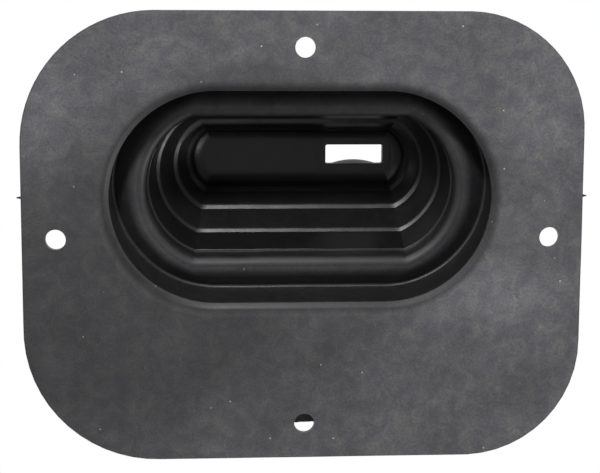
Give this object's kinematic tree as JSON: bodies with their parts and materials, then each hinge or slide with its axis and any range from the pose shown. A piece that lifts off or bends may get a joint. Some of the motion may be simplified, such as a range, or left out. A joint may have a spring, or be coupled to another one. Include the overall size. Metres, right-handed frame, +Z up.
{
  "type": "transfer case shifter boot",
  "caption": "Moulded rubber boot for a gear lever: a flat rounded flange with screw holes and a leaning oval stepped bellows that ends in a lever slot.",
  "frame": {"origin": "middle of the flange's underside, under the middle of the whole outline", "axes": "+X along the flange toward the lever slot, +Z up from the flange's underside to the bellows' end, the bellows leans toward -Y"},
  "size_m": [0.232, 0.1834, 0.0646],
  "materials": {
    "rubber": "matte moulded"
  },
  "bodies": {
    "root": {"boot": "rubber"}
  },
  "joints": []
}
